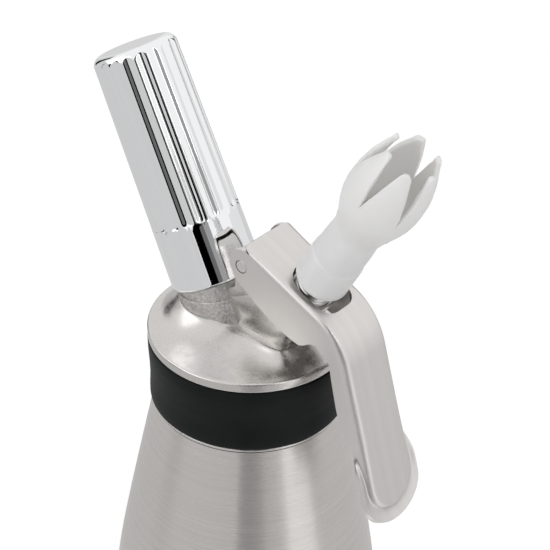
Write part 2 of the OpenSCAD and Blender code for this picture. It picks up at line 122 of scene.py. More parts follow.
def rounded(corners):
    """Outline through (r, z, fillet) corners, each fillet drawn as a short arc."""
    points = []
    for i, (r, z, fillet) in enumerate(corners):
        if not fillet:
            points.append((r, z))
            continue
        here = Vector((r, z))
        back = (Vector(corners[i - 1][:2]) - here).normalized()
        on = (Vector(corners[(i + 1) % len(corners)][:2]) - here).normalized()
        half = back.angle(on) / 2
        middle = here + (back + on).normalized() * fillet / math.sin(half)
        turn = math.pi - 2 * half
        steps = max(2, round(turn / math.radians(18)))
        start = here + back * fillet / math.tan(half) - middle
        sign = 1 if back.x * on.y - back.y * on.x < 0 else -1
        for k in range(steps + 1):
            angle = sign * turn * k / steps
            points.append(tuple(middle + Matrix.Rotation(angle, 2) @ start))
    return points


def spun(bm, outline, steps, closed=True):
    """Turns an outline of (r, z) points about Z."""
    verts = [bm.verts.new((r, 0, z)) for r, z in outline]
    ends = zip(verts, verts[1:] + verts[:1]) if closed else zip(verts, verts[1:])
    edges = [bm.edges.new(pair) for pair in ends]
    bmesh.ops.spin(
        bm, geom=verts + edges, axis=(0, 0, 1), cent=(0, 0, 0), angle=2 * math.pi, steps=steps, use_merge=True
    )


def thread(bm, radius, height, pitch, foot, turns, steps=64):
    """A screw thread's ridge, wound about Z from foot."""
    ridge = [(-0.3, -0.32), (height, -0.1), (height, 0.1), (-0.3, 0.32)]
    verts = [bm.verts.new((radius + out, 0, foot + up * pitch)) for out, up in ridge]
    face = bm.faces.new(verts)
    bmesh.ops.spin(
        bm, geom=[face], axis=(0, 0, 1), cent=(0, 0, 0), angle=2 * math.pi * turns,
        steps=round(steps * turns), dvec=(0, 0, pitch / steps),
    )


def mapped(bm, columns, rows, point):
    """A grid whose corner in each column and row is moved to point(column, row)."""
    made = bmesh.ops.create_grid(bm, x_segments=columns, y_segments=rows, size=1)["verts"]
    for i, vert in enumerate(made):
        vert.co = point(i % (columns + 1), i // (columns + 1))


def extruded(bm, points, along):
    """A face through points, grown into a solid along a vector."""
    face = bm.faces.new([bm.verts.new(point) for point in points])
    grown = bmesh.ops.extrude_face_region(bm, geom=[face])["geom"]
    bmesh.ops.translate(bm, vec=along, verts=[g for g in grown if isinstance(g, bmesh.types.BMVert)])


def prism(bm, outline, half):
    """An outline of (x, z) points as a plate that reaches half to either side in Y."""
    extruded(bm, [(x, -half, z) for x, z in outline], (0, 2 * half, 0))


def tube(bm, path, radius, sides=10):
    """A round wire along a path, closed at both ends."""
    path = [path[0], *path, path[-1]]
    last = len(path) - 1

    def point(column, row):
        if row in (0, last):
            return path[row]
        ahead = (path[min(row + 1, last)] - path[max(row - 1, 0)]).normalized()
        side = ahead.cross(Vector((0, 0, 1))).normalized()
        angle = 2 * math.pi * column / sides
        return path[row] + radius * (math.cos(angle) * side + math.sin(angle) * side.cross(ahead))

    mapped(bm, sides, last, point)


def soften(bm, width, angle):
    """Rounds every edge sharper than an angle in degrees."""
    edges = [e for e in bm.edges if e.is_manifold and e.calc_face_angle() > math.radians(angle)]
    bmesh.ops.bevel(
        bm, geom=edges, offset=width, offset_type="OFFSET", segments=3, profile=0.5,
        affect="EDGES", clamp_overlap=True, material=-1,
    )


def tidied(bm):
    """Merges what coincides and turns the faces outwards."""
    bmesh.ops.remove_doubles(bm, verts=bm.verts, dist=MERGE)
    bmesh.ops.dissolve_degenerate(bm, edges=bm.edges, dist=0.0005)
    bmesh.ops.recalc_face_normals(bm, faces=bm.faces)
    return bm


def thicken(bm, thickness, outermost, outwards):
    """Gives an open skin its wall inwards, once its outermost face is turned outwards."""
    bmesh.ops.remove_doubles(bm, verts=bm.verts, dist=MERGE)
    bmesh.ops.recalc_face_normals(bm, faces=bm.faces)
    bm.faces.ensure_lookup_table()
    face = outermost(bm.faces, key=lambda face: face.calc_center_median().z)
    if face.normal.dot(outwards(face.calc_center_median())) < 0:
        bmesh.ops.reverse_faces(bm, faces=bm.faces)
    bmesh.ops.solidify(bm, geom=bm.faces[:], thickness=thickness)


def shown(name, bm, *materials):
    """Object made from a bmesh, which it uses up."""
    mesh = bpy.data.meshes.new(name)
    bm.to_mesh(mesh)
    bm.free()
    for material in materials:
        mesh.materials.append(material)
    made = bpy.data.objects.new(name, mesh)
    bpy.context.scene.collection.objects.link(made)
    return made


def joined(bm, other):
    """Moves another bmesh's parts into a bmesh."""
    mesh = bpy.data.meshes.new("part")
    other.to_mesh(mesh)
    other.free()
    bm.from_mesh(mesh)
    bpy.data.meshes.remove(mesh)


def cut(bm, cutter):
    """Takes a cutter's solid out of a solid."""
    blank, tool = shown("blank", tidied(bm).copy()), shown("cutter", tidied(cutter))
    boolean = blank.modifiers.new("cut", "BOOLEAN")
    boolean.operation, boolean.solver, boolean.object = "DIFFERENCE", "EXACT", tool
    done = blank.evaluated_get(bpy.context.evaluated_depsgraph_get())
    bm.clear()
    bm.from_mesh(done.to_mesh())
    done.to_mesh_clear()
    for solid in (blank, tool):
        mesh = solid.data
        bpy.data.objects.remove(solid)
        bpy.data.meshes.remove(mesh)


class Piece:
    """One piece of the dispenser, gathered from closed parts and then placed in the shared frame."""

    def __init__(self, name, body, nodes, slot, materials, sharp=38):
        self.name, self.body, self.nodes, self.slot = name, body, nodes, slot
        self.materials, self.sharp = materials, math.radians(sharp)
        self.whole = bmesh.new()

    def add(self, bm, place, material=0):
        """Adds a part that is drawn in the place's own millimetres."""
        tidied(bm)
        for face in bm.faces:
            face.smooth = True
            face.material_index = material
        for edge in bm.edges:
            edge.smooth = not edge.is_manifold or edge.calc_face_angle() < self.sharp
        bmesh.ops.transform(bm, matrix=place @ IN_MM, verts=bm.verts)
        joined(self.whole, bm)

    def turn(self, outline, place, material=0, steps=96):
        """Adds a part that is turned from an outline."""
        bm = bmesh.new()
        spun(bm, outline, steps)
        self.add(bm, place, material)

    def finish(self):
        """Makes the object, puts it on its body and has it stand for its CAD nodes."""
        piece = shown(self.name, self.whole, *self.materials)
        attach(piece, self.body)
        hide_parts(*self.nodes)
        return piece


# Finishes ------------------------


class Finish:
    """A material under construction: its node tree, its shader and short ways to add nodes."""

    def __init__(self, name, colour, roughness, metallic=0.0, **sockets):
        self.material = bpy.data.materials.new(name)
        self.material.use_nodes = True
        self.tree = self.material.node_tree
        self.shader = self.tree.nodes["Principled BSDF"]
        self.set("Base Color", (*colour, 1))
        self.set("Roughness", roughness)
        self.set("Metallic", metallic)
        for socket, value in sockets.items():
            self.set(socket.replace("_", " "), value)

    def set(self, socket, value):
        """Gives a socket of the shader a value."""
        self.shader.inputs[socket].default_value = value

    def node(self, kind, links=None, **settings):
        """Adds a node, sets it up and links sockets or values to its inputs."""
        made = self.tree.nodes.new(kind)
        for key, value in settings.items():
            setattr(made, key, value)
        for socket, value in (links or {}).items():
            if isinstance(value, bpy.types.NodeSocket):
                self.tree.links.new(value, made.inputs[socket])
            else:
                made.inputs[socket].default_value = value
        return made

    def coords(self, place=None, grain=(1, 1, 1)):
        """Object coordinates in a place's own frame, divided by the grain's length on each axis."""
        place = place or Matrix.Identity(4)
        source = self.node("ShaderNodeTexCoord").outputs["Object"]
        turn = self.node("ShaderNodeMapping", {"Vector": source}, vector_type="TEXTURE")
        turn.inputs["Location"].default_value = place.to_translation()
        turn.inputs["Rotation"].default_value = place.to_euler()
        turn.inputs["Scale"].default_value = grain
        return turn.outputs["Vector"]

    def noise(self, vector, detail=3.0, rough=0.55):
        """Noise of unit size on a vector."""
        made = self.node(
            "ShaderNodeTexNoise", {"Vector": vector, "Scale": 1.0, "Detail": detail, "Roughness": rough}
        )
        return made.outputs["Fac"]

    def span(self, value, low, high, start=0.3, end=0.7):
        """Turns start..end of a value into low..high."""
        made = self.node(
            "ShaderNodeMapRange",
            {"Value": value, "From Min": start, "From Max": end, "To Min": low, "To Max": high},
        )
        return made.outputs["Result"]

    def shade(self, value, dark, light, start=0.3, end=0.7):
        """Colour between two colours by a value."""
        share = self.span(value, 0, 1, start, end)
        made = self.node("ShaderNodeMix", {0: share}, data_type="RGBA")
        made.inputs[6].default_value = (*dark, 1)
        made.inputs[7].default_value = (*light, 1)
        return made.outputs[2]

    def bump(self, height, distance):
        """Normal raised by a height, distance being the height of 1 in metres."""
        return self.node("ShaderNodeBump", {"Height": height, "Distance": distance}).outputs["Normal"]

    def link(self, value, socket):
        """Links a value to a socket of the shader."""
        self.tree.links.new(value, self.shader.inputs[socket])


def seen_directly(tree):
    """1 for the camera's rays and those from mirrors and through glass, and 0 for light."""
    path = tree.nodes.new("ShaderNodeLightPath")
    seen = path.outputs["Is Camera Ray"]
    for ray in ("Is Glossy Ray", "Is Transmission Ray"):
        add = tree.nodes.new("ShaderNodeMath")
        add.operation, add.use_clamp = "ADD", True
        tree.links.new(seen, add.inputs[0])
        tree.links.new(path.outputs[ray], add.inputs[1])
        seen = add.outputs[0]
    return seen


def brushed(name, colour, rough, place=None, grain=(0.02, 0.02, 0.00012), depth=4e-6, painted_shade_reach=0, **sockets):
    """Metal with fine streaks, long where the grain is long, and painted shade that darkens crevices within a given
    reach.
    """
    f = Finish(name, colour, rough, 1.0, **sockets)
    streak = f.noise(f.coords(place, grain), 4.0, 0.65)
    broad = f.noise(f.coords(place, tuple(12 * g for g in grain)), 2.0)
    f.link(f.span(streak, rough - 0.07, rough + 0.08), "Roughness")
    dark = tuple(0.93 * c for c in colour)
    tone_and_painted_shade = f.shade(broad, dark, colour)
    # painted shade: where ambient occlusion finds crevices within the reach, the base colour is darkened towards 0.4
    # of the metal's colour
    if painted_shade_reach:
        painted_shade_ao = f.node("ShaderNodeAmbientOcclusion", {"Color": tone_and_painted_shade, "Distance": painted_shade_reach}, samples=12)
        share = f.span(painted_shade_ao.outputs["AO"], 0.0, 1.0, 0.45, 0.8)
        tone_and_painted_shade = f.node("ShaderNodeMix", {0: share, 7: tone_and_painted_shade}, data_type="RGBA")
        tone_and_painted_shade.inputs[6].default_value = (*(0.4 * c for c in colour), 1)
        tone_and_painted_shade = tone_and_painted_shade.outputs[2]
    f.link(tone_and_painted_shade, "Base Color")
    f.link(f.bump(streak, depth), "Normal")
    return f.material


def blasted(name, colour, rough, size=0.0009, depth=2.4e-4):
    """Metal with the grain of a bead-blasted casting."""
    f = Finish(name, colour, rough, 1.0)
    grain = f.noise(f.coords(grain=(size,) * 3), 3.0, 0.6)
    f.link(f.shade(grain, tuple(0.7 * c for c in colour), tuple(1.12 * c for c in colour)), "Base Color")
    f.link(f.span(grain, rough - 0.05, rough + 0.12), "Roughness")
    f.link(f.bump(grain, depth), "Normal")
    return f.material


def polished(name, colour, rough):
    """Chrome plate, with the faint unevenness of polishing under it."""
    f = Finish(name, colour, rough, 1.0)
    uneven = f.noise(f.coords(grain=(0.006,) * 3), 2.0)
    f.link(f.span(uneven, max(rough - 0.012, 0.0), rough + 0.02), "Roughness")
    f.link(f.bump(uneven, 6e-6), "Normal")
    return f.material


def rubber(name, colour, rough, size=0.0004, depth=1.2e-5, **sockets):
    """Moulded rubber with a fine matt texture."""
    f = Finish(name, colour, rough, 0.0, **sockets)
    texture = f.noise(f.coords(grain=(size,) * 3), 3.0)
    cloud = f.noise(f.coords(grain=(0.012,) * 3), 2.0)
    light = tuple(1.35 * c + 0.002 for c in colour)
    f.link(f.shade(cloud, colour, light), "Base Color")
    f.link(f.span(texture, rough - 0.05, rough + 0.07), "Roughness")
    f.link(f.bump(texture, depth), "Normal")
    return f.material


def plastic(name, colour, rough, **sockets):
    """Smooth moulded plastic with faint flow marks."""
    f = Finish(name, colour, rough, 0.0, **sockets)
    flow = f.noise(f.coords(grain=(0.009, 0.009, 0.016)), 2.0)
    fine = f.noise(f.coords(grain=(0.0006,) * 3), 2.0)
    dark = tuple(0.97 * c for c in colour)
    f.link(f.shade(flow, dark, colour), "Base Color")
    f.link(f.span(fine, rough - 0.03, rough + 0.05), "Roughness")
    f.link(f.bump(fine, 3e-6), "Normal")
    return f.material


# Settings ------------------------


def length_setting(name, description, default, low, high):
    """A length in metres that a user may change."""
    return bpy.props.FloatProperty(
        name=name, description=description, default=default, min=low, max=high, unit="LENGTH", precision=5
    )


def colour_setting(name, description, default):
    """A colour that a user may change."""
    return bpy.props.FloatVectorProperty(
        name=name, description=description, default=default, min=0, max=1, subtype="COLOR", size=3
    )


class BottleSettings(bpy.types.PropertyGroup):
    belly: length_setting(
        "Belly radius", "Radius of the bottle's straight belly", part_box("bottle_shell")[1].x, 0.04, 0.052
    )
    wall: length_setting("Wall", "Thickness of the drawn steel wall", 0.0009, 0.0006, 0.0015)
    steel: colour_setting("Steel", "Colour of the brushed steel", (0.66, 0.635, 0.615))


class HeadSettings(bpy.types.PropertyGroup):
    band: length_setting("Band radius", "Radius of the grip band", 0.0314, 0.03, 0.034)
    steel: colour_setting("Steel", "Colour of the cast steel", (0.63, 0.61, 0.59))
    rubber: colour_setting("Rubber", "Colour of the grip band", (0.0035, 0.0045, 0.0045))


class HolderSettings(bpy.types.PropertyGroup):
    grooves: bpy.props.IntProperty(
        name="Grooves", description="Number of grooves round the holder", default=20, min=8, max=20
    )
    groove: length_setting("Groove depth", "Depth of each groove below the ridges", 0.00052, 0.0002, 0.0008)
    chrome: colour_setting("Chrome", "Colour of the chrome plate", (0.87, 0.875, 0.885))


class LeverSettings(bpy.types.PropertyGroup):
    sheet: length_setting("Sheet", "Thickness of the stamped sheet", 0.0016, 0.0012, 0.0018)
    steel: colour_setting("Steel", "Colour of the satin steel", (0.71, 0.69, 0.672))


class NozzleSettings(bpy.types.PropertyGroup):
    petals: bpy.props.IntProperty(
        name="Petals", description="Number of petals on the tulip", default=6, min=4, max=7
    )
    wall: length_setting("Wall", "Thickness of the moulded wall", 0.0014, 0.001, 0.0018)
    plastic: colour_setting("Plastic", "Colour of the moulded plastic", (0.88, 0.865, 0.85))


class StageSettings(bpy.types.PropertyGroup):
    floor: colour_setting("Floor", "Colour of the floor", (0.8, 0.8, 0.8))
    lens: bpy.props.FloatProperty(
        name="Lens", description="Focal length of the camera", default=112.98, min=50, max=200, unit="CAMERA"
    )


# Bottle ------------------------


class MakeBottle(bpy.types.Operator):
    """Brushed steel bottle with its threaded neck"""

    bl_idname = "dispenser.make_bottle"
    bl_label = "Bottle"

    def execute(self, context):
        look = context.scene.dispenser_bottle
        belly, wall = look.belly / MM, look.wall / MM
        belly_z, shoulder_z, shoulder_r, softness = 90, 173.6, 30, 0.165
        neck_r, neck_z, neck_wall = 25.95, RIM_Z / MM - 4.2, 1.2

        def shoulder(share):
            drop = share - softness * (1 - math.exp(-share / softness))
            return drop / (1 - softness * (1 - math.exp(-1 / softness)))

        side = [
            (belly - (belly - shoulder_r) * shoulder(k / 28), mix(belly_z, shoulder_z, k / 28)) for k in range(29)
        ]
        hollow, ring_r = 1.5, 34.4  # depth of the hollow under the foot, and inner edge of the ring round it
        outside = rounded([
            (0, hollow, 0), (ring_r - 1.8, hollow, 1.4), (ring_r, 0, 1.2), (belly, 0, 8), (belly, belly_z - 1, 0),
        ])
        neck = rounded([
            (shoulder_r, shoulder_z, 0), (neck_r, shoulder_z, 0.5), (neck_r, neck_z, 0.5),
            (neck_r - neck_wall, neck_z, 0.5), (neck_r - neck_wall, shoulder_z - wall, 0),
        ])
        inside = [(r - wall, z) for r, z in reversed(side) if z < shoulder_z - wall - 0.5]
        floor = rounded([(belly - wall, belly_z - 1, 0), (belly - wall, 2.5, 7), (0, 2.5, 0)])
        steel = brushed(
            "bottle_steel", look.steel, 0.3, grain=(0.03, 0.03, 0.00016), depth=2e-6,
            Anisotropic=0.75, Anisotropic_Rotation=0.25,
        )
        tangent = steel.node_tree.nodes.new("ShaderNodeTangent")
        tangent.direction_type, tangent.axis = "RADIAL", "Z"
        shader = steel.node_tree.nodes["Principled BSDF"]
        steel.node_tree.links.new(tangent.outputs[0], shader.inputs["Tangent"])
        piece = Piece("bottle", "bottle", ["bottle_shell"], "bottle_steel", [steel])
        piece.turn(outside + side + neck[1:] + inside + floor, Matrix.Identity(4), steps=160)
        bm = bmesh.new()
        thread(bm, neck_r, 0.9, 4, RIM_Z / MM - 18.5, 2.6)
        piece.add(bm, Matrix.Identity(4))
        piece.finish()
        return {"FINISHED"}


# Head ------------------------


def ridge_reach(angle):
    """How far the terrace's edge lies from the bottle's axis: round the boss, long round the block."""
    boss_x, boss_r, long, wide = -10.3, 14.4, 20.3, 10.5
    c, s = math.cos(angle), math.sin(angle)
    under = boss_r**2 - (boss_x * s) ** 2
    round_boss = boss_x * c + math.sqrt(under) if under > 0 else 0
    round_block = ((abs(c) / long) ** 7 + (abs(s) / wide) ** 7) ** (-1 / 7)
    soft = 0.5  # how softly the two outlines run into each other
    return soft * math.log(math.exp(round_boss / soft) + math.exp(round_block / soft))


def dome_height(reach, angle, rim_r, rim_z):
    """Height of the head's top, in the head's frame: a hollow flank up to the terrace's edge."""
    edge = ridge_reach(angle)
    edge_z = 7.0 + 1.5 * ease((3 - edge * math.cos(angle)) / 14)
    flank = rim_z + (edge_z - rim_z) * (max(rim_r - reach, 0) / (rim_r - edge)) ** 2.1
    terrace = edge_z + 1.3 * (1 - min(reach / edge, 1) ** 2)
    soft = 0.16  # how softly the flank runs into the terrace
    return -soft * math.log(math.exp(-flank / soft) + math.exp(-terrace / soft))


def dome(bm):
    """The head's rim and domed top, closed underneath."""
    rim = rounded([(24, 0.2, 0), (31.45, 0.2, 0.5), (31.5, 3.25, 0.55), (29.5, 3.45, 0)])[:-1]
    rim_r, rim_z = rim[-1]
    around, across = 240, 46
    flank_share = 0.62  # of the rows between rim and middle, closest together at the terrace's edge

    def point(column, row):
        angle = 2 * math.pi * column / around
        if row < len(rim):
            reach, z = rim[row]
        else:
            share = (row - len(rim) + 1) / across
            edge = ridge_reach(angle)
            if share < flank_share:
                reach = mix(rim_r, edge, math.sin(share / flank_share * math.pi / 2))
            else:
                reach = edge * (1 - ((share - flank_share) / (1 - flank_share)) ** 1.6)
            z = dome_height(reach, angle, rim_r, rim_z)
        return (reach * math.cos(angle), reach * math.sin(angle), z)

    mapped(bm, around, len(rim) + across - 1, point)
    bmesh.ops.remove_doubles(bm, verts=bm.verts, dist=MERGE)
    lowest = [e for e in bm.edges if e.is_boundary]
    bmesh.ops.holes_fill(bm, edges=lowest, sides=0)


class MakeHead(bpy.types.Operator):
    """Cast head: rim and dome, grained boss with the holder's thread, valve block, lug and skirt"""

    bl_idname = "dispenser.make_head"
    bl_label = "Head"

    def execute(self, context):
        look = context.scene.dispenser_head
        head, holder = head_place(), axis_place("holder_unscrew")
        satin = brushed("cast_steel", look.steel, 0.25, head, (0.003, 0.003, 0.0012), 6e-7)
        grained = blasted("blasted_steel", look.steel, 0.38)
        piece = Piece("head", "head", ["head_casting"], "cast_steel", [satin, grained])

        bm = bmesh.new()
        dome(bm)
        piece.add(bm, head)

        skirt = rounded([
            (0, -1.5, 0), (27.5, -1.5, 0.6), (27.5, -23.5, 0.3), (30.4, -23.5, 0.45), (30.4, -22.5, 0.3),
            (29, -22.5, 0), (29, 1, 0), (0, 1, 0),
        ])
        piece.turn(skirt, head, steps=160)

        bm = bmesh.new()
        self.ledge(bm, (head @ IN_MM).inverted() @ holder @ IN_MM)
        piece.add(bm, head, 1)

        stub_r = 11.2
        boss = rounded([(0, 2, 0), (12.5, 2, 0), (12.5, 16.2, 0.4), (6, 16.2, 0.2), (6, 8, 0), (0, 8, 0)])
        stub = rounded([(6, 10, 0), (stub_r, 10, 0), (stub_r, 30, 0.8), (9.9, 30, 0.3), (6, 24, 0)])
        piece.turn(boss, holder, 1)
        piece.turn(stub, holder)
        bm = bmesh.new()
        thread(bm, stub_r, 0.45, 3, 18.6, 3.3)
        piece.add(bm, holder)

        bm = bmesh.new()
        self.block(bm)
        piece.add(bm, head)
        bm = bmesh.new()
        self.lug(bm)
        piece.add(bm, head)
        piece.finish()
        return {"FINISHED"}

    @staticmethod
    def ledge(bm, holder_in_head):
        """Wide foot of the boss: a cylinder about the holder's axis, cut off by a sloping plane above and a level
        plane below.
        """
        spun(bm, [(0, -1), (13.1, -1), (13.1, 22), (0, 22)], 96)
        tidied(bm)
        bmesh.ops.transform(bm, matrix=holder_in_head, verts=bm.verts)
        top, bottom = ((-10, 0, 12.4), (-0.25, 0, 1)), ((0, 0, 1), (0, 0, -1))
        for through, out in (top, bottom):
            geom = bm.verts[:] + bm.edges[:] + bm.faces[:]
            bmesh.ops.bisect_plane(bm, geom=geom, plane_co=through, plane_no=out, clear_outer=True)
            bmesh.ops.holes_fill(bm, edges=[e for e in bm.edges if e.is_boundary], sides=0)
        soften(bm, 0.35, 60)

    @staticmethod
    def block(bm):
        """Block round the valve, round at the front, with the bore for the guide bush."""
        tilt = math.radians(29)
        up, ahead = Vector((math.sin(tilt), math.cos(tilt))), Vector((math.cos(tilt), -math.sin(tilt)))
        foot, half, top = Vector((9.1, 0)), 7.6, 22.5
        crown = foot + top * up
        front_top, front_foot = crown + half * ahead, foot + half * ahead + 1 * up
        prism(bm, [crown - half * ahead, front_top, front_foot, (0, 1), (-2, 16)], half)
        bm.edges.ensure_lookup_table()
        upright = [
            e for e in bm.edges
            if all((v.co.xz - front_foot).dot(ahead) > -0.01 for v in e.verts) and e.calc_length() > 18
        ]
        bmesh.ops.bevel(
            bm, geom=upright, offset=7.2, offset_type="OFFSET", segments=14, profile=0.5, affect="EDGES", material=-1
        )
        bore = bmesh.new()
        spun(bore, [(0, 11.5), (6, 11.5), (6, 30), (0, 30)], 64)
        place = Matrix.Translation((foot.x, 0, 0)) @ Matrix.Rotation(tilt, 4, "Y")
        bmesh.ops.transform(bore, matrix=place, verts=bore.verts)
        cut(bm, bore)
        soften(bm, 0.45, 40)

    @staticmethod
    def lug(bm):
        """Lug that rises behind the valve to the hinge pin."""
        pin_x, pin_z, lug_r = (PIVOT.x / MM, (PIVOT.z - RIM_Z) / MM, 4.7)
        over = [
            (pin_x + lug_r * math.cos(math.radians(a)), pin_z + lug_r * math.sin(math.radians(a)))
            for a in range(190, 29, -16)
        ]
        prism(bm, over + [(13.36, 23.36), (10.45, 18.1), (8, 3), (-4, 3), (-2.5, 18.5), (-0.2, 20.6)], 7.4)
        soften(bm, 0.6, 40)


class MakeGripBand(bpy.types.Operator):
    """Black rubber band round the head's skirt"""

    bl_idname = "dispenser.make_grip_band"
    bl_label = "Grip band"

    def execute(self, context):
        look = context.scene.dispenser_head
        r = look.band / MM
        coat = rubber("grip_rubber", look.rubber, 0.5, Specular_IOR_Level=0.12)
        piece = Piece("grip_band", "head", ["grip_band"], "grip_rubber", [coat])
        band = rounded([
            (29, -0.05, 0.2), (r + 0.08, -0.05, 0.7), (r, -4.05, 3), (r - 0.42, -10.1, 6), (r - 0.57, -14.6, 4),
            (r - 0.42, -19.1, 1.5), (r - 0.42, -22.45, 1.2), (29, -22.45, 0.2),
        ])
        piece.turn(band, head_place(), steps=160)
        piece.finish()
        return {"FINISHED"}


# Charger holder ------------------------


class MakeHolder(bpy.types.Operator):
    """Chrome holder with shallow grooves that run out over its rounded top edge"""

    bl_idname = "dispenser.make_holder"
    bl_label = "Charger holder"

    def execute(self, context):
        look = context.scene.dispenser_holder
        foot, top, foot_r, top_r, edge_r = 16.5, 91.1, 14.3, 13.0, 3.0
        low, run_in, depth = foot + 19.9, 1.8, look.groove / MM
        bore = [(12.1, foot), (12.1, 31.2), (9.4, 31.9), (9.4, 73), (8.2, 77.5), (5.5, 80.7), (0, 82.2)]
        steps = 18

        def taper(z):
            return mix(foot_r, top_r, (z - foot) / (top - foot))

        # height, radius without grooves, and how wide and deep the grooves are there
        rows = [(foot, 12.4, 0), (foot, 13.6, 0), (foot + 0.12, 14.05, 0), (foot + 0.5, 14.28, 0)]
        rows += [(z, taper(z), 0) for z in (foot + 1, foot + 2, 22, 26, 30, 33, 35, low)]
        for k in range(1, 13):
            z = low + run_in * (k / 12) ** 1.7
            rows.append((z, taper(z), math.sqrt(1 - (1 - (z - low) / run_in) ** 2)))
        rows += [(z, taper(z), 1) for z in (42, 50, 60, 70, 78, 84, 86.5)]
        for k in range(17):
            angle = math.radians(90 * k / 16)
            z = top - edge_r + edge_r * math.sin(angle)
            rows.append((z, taper(z) - edge_r * (1 - math.cos(angle)), 1))
        rows += [(top, r, 0) for r in (9.2, 8, 5, 2, 0)]

        def point(column, row):
            z, reach, size = rows[row]
            angle = math.radians(2) + 2 * math.pi * column / (look.grooves * steps)
            offset = 2 * (column % steps) / steps
            offset -= 2 * (offset > 1)
            if size:
                wave = max(0, 1 - (abs(offset) / (0.25 + 0.75 * size)) ** 2) ** 2
                wave = mix(wave, 0.5 + 0.5 * math.cos(math.pi * offset), size)
                reach = min(reach, taper(z) - depth * size * wave)
            return (reach * math.cos(angle), reach * math.sin(angle), z)

        chrome = polished("chrome", look.chrome, 0.03)
        piece = Piece("charger_holder", "holder", ["charger_holder"], "chrome", [chrome], 50)
        bm = bmesh.new()
        mapped(bm, look.grooves * steps, len(rows) - 1, point)
        inner = bmesh.new()
        spun(inner, bore, 96, closed=False)
        joined(bm, inner)
        bmesh.ops.remove_doubles(bm, verts=bm.verts, dist=MERGE)
        rims = [e for e in bm.edges if e.is_boundary]
        bmesh.ops.bridge_loops(bm, edges=rims)
        piece.add(bm, axis_place("holder_unscrew"))
        piece.finish()
        return {"FINISHED"}


# Lever ------------------------


